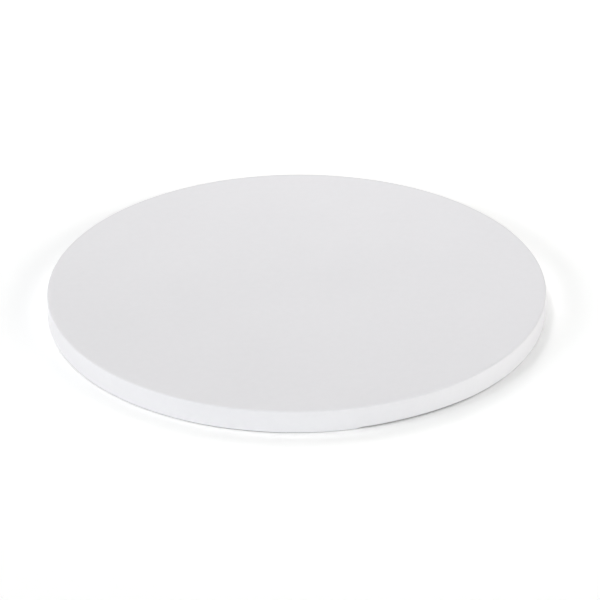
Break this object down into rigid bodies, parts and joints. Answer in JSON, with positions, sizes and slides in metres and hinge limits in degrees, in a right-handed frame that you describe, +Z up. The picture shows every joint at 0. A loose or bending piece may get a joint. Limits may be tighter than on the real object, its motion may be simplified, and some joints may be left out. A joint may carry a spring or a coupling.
{
  "type": "cake board",
  "caption": "Round flat board covered in plain white paper, a stiff base that a cake stands on, is carried on and is served from.",
  "frame": {"origin": "centre of the underside, on the face that the board rests on", "axes": "+Z up through the centre of the board, towards the face that the cake stands on; X and Y lie in the board's plane, and it is the same all round"},
  "size_m": [0.254, 0.254, 0.012],
  "materials": {
    "white_paper": "matt white paper"
  },
  "bodies": {
    "root": {"cake_board": "white_paper"}
  },
  "joints": []
}
